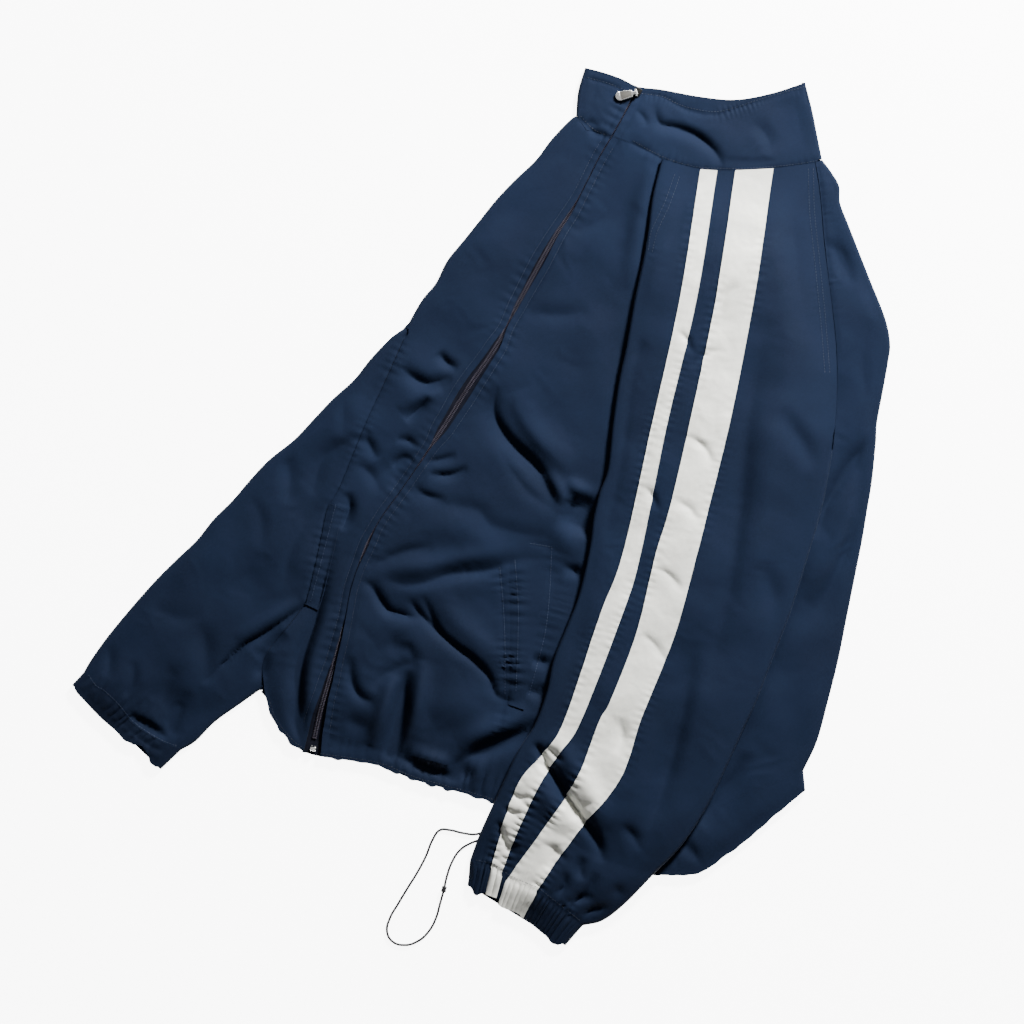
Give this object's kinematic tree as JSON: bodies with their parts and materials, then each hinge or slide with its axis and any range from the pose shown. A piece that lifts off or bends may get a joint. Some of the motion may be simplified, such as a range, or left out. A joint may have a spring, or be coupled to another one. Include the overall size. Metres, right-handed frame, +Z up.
{
  "type": "track jacket laid flat",
  "caption": "Navy zip-up track jacket laid flat, zip closed, left sleeve folded over the front with two off-white stripes, stand collar, gathered cuffs and a hem cord loop.",
  "frame": {"origin": "middle of the jacket's plan on the surface it lies on, without the hem cord", "axes": "+Z up from the surface, +Y towards the collar end, +X to the wearer's left side of the layout"},
  "size_m": [0.8178, 0.8782, 0.0279],
  "materials": {
    "navy_cloth": "plain-woven nylon, slight sheen",
    "stripe_cloth": "off-white woven satin",
    "zip_coil": "dark nylon coil and tape",
    "slider_metal": "satin nickel",
    "tab_metal": "bright rim, satin inset",
    "cord_rubber": "thin black elastic",
    "bead_plastic": "black"
  },
  "bodies": {
    "jacket": {"back": "navy_cloth", "back_hem": "navy_cloth", "collar": "navy_cloth", "cord_bead": "bead_plastic", "hem_cord": "cord_rubber", "left_cuff": "navy_cloth", "left_front": "navy_cloth", "left_hem": "navy_cloth", "left_pocket_welt": "navy_cloth", "left_sleeve": "navy_cloth", "narrow_stripe": "stripe_cloth", "narrow_stripe_cuff": "stripe_cloth", "right_cuff": "navy_cloth", "right_front": "navy_cloth", "right_hem": "navy_cloth", "right_pocket_welt": "navy_cloth", "right_sleeve": "navy_cloth", "wide_stripe": "stripe_cloth", "wide_stripe_cuff": "stripe_cloth", "zip_box": "slider_metal", "zip_chain": "zip_coil", "zip_slider": "slider_metal", "zip_tape": "zip_coil"},
    "pull_tab": {"pull_tab": "tab_metal"}
  },
  "joints": [
    {"name": "pull_tab_hinge", "type": "hinge", "parent": "jacket", "child": "pull_tab", "pos_m": [0.15473, 0.41318, 0.01167], "axis": [-0.2, 0.9798, 0], "range_deg": [0, 110]}
  ]
}
